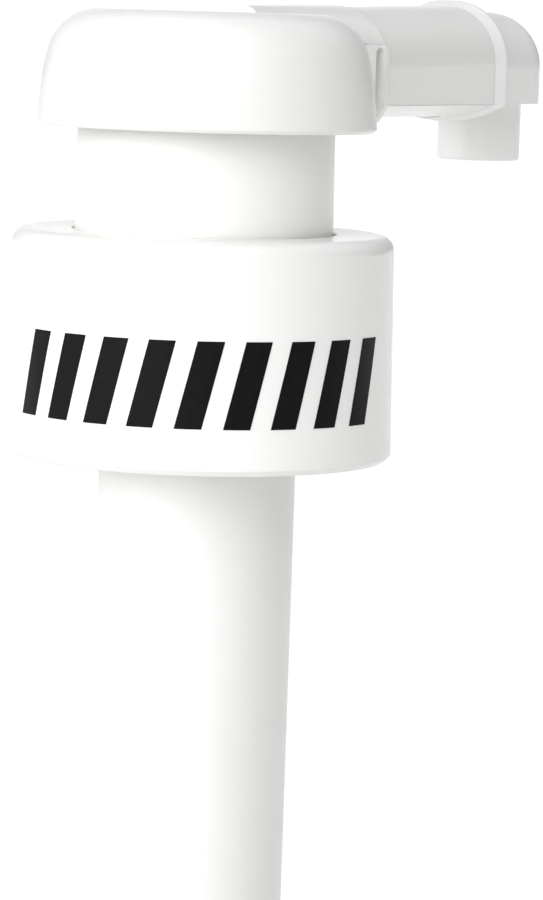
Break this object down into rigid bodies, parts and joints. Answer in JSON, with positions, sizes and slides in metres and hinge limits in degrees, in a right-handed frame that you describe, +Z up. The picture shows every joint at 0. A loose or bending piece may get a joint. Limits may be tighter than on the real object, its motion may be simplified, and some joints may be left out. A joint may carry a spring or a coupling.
{
  "type": "condiment pump dispenser",
  "caption": "Screw-on hand pump with a round push head, long hooded spout, collar for a bottle neck, tapered pump barrel and dip tube.",
  "frame": {"origin": "pump axis, in the plane where the neck gasket seals on the bottle lip", "axes": "+Z up along the pump axis, +X from the pump axis towards the spout's nozzle"},
  "size_m": [0.0777, 0.035, 0.2542],
  "materials": {
    "white_gloss": "glossy moulded polypropylene",
    "white_satin": "satin moulded polyethylene",
    "seal_foam": "soft foamed polyethylene",
    "seal_ldpe": "translucent low-density polyethylene",
    "o_ring_rubber": "black nitrile rubber",
    "spring_steel": "drawn stainless spring wire",
    "ball_steel": "polished stainless ball",
    "print_ink": "black pad-printing ink",
    "natural_tube": "extruded natural polyethylene tube"
  },
  "bodies": {
    "base": {"pump_housing": "white_gloss", "chaplet": "white_gloss", "stem_wiper": "seal_ldpe", "neck_gasket": "seal_foam", "ball_cage": "white_satin", "foot_fitting": "white_satin", "dip_tube": "natural_tube", "return_spring": "spring_steel"},
    "collar": {"closure_shell": "white_gloss", "closure_liner": "white_satin"},
    "piston": {"piston_seal": "seal_ldpe"},
    "plunger": {"plunger_stem": "white_satin", "piston_core": "white_satin", "actuator_head": "white_gloss", "spout_channel": "white_gloss", "spout_o_ring": "o_ring_rubber", "spout_end_cap": "white_gloss"},
    "upper_ball": {"upper_check_ball": "ball_steel"},
    "lower_ball": {"lower_check_ball": "ball_steel"}
  },
  "joints": [
    {"name": "collar_turn", "type": "hinge", "parent": "base", "child": "collar", "pos_m": [0, 0, 0], "axis": [0, 0, 1], "continuous": true},
    {"name": "plunger_slide", "type": "slide", "parent": "base", "child": "piston", "axis": [0, 0, 1], "range_m": [0, 0.038], "deforming": ["return_spring"]},
    {"name": "spout_swivel", "type": "hinge", "parent": "piston", "child": "plunger", "pos_m": [0, 0, 0], "axis": [0, 0, 1], "continuous": true},
    {"name": "upper_ball_lift", "type": "slide", "parent": "plunger", "child": "upper_ball", "axis": [0, 0, 1], "range_m": [0, 0.0015]},
    {"name": "lower_ball_lift", "type": "slide", "parent": "base", "child": "lower_ball", "axis": [0, 0, 1], "range_m": [0, 0.0015]}
  ]
}
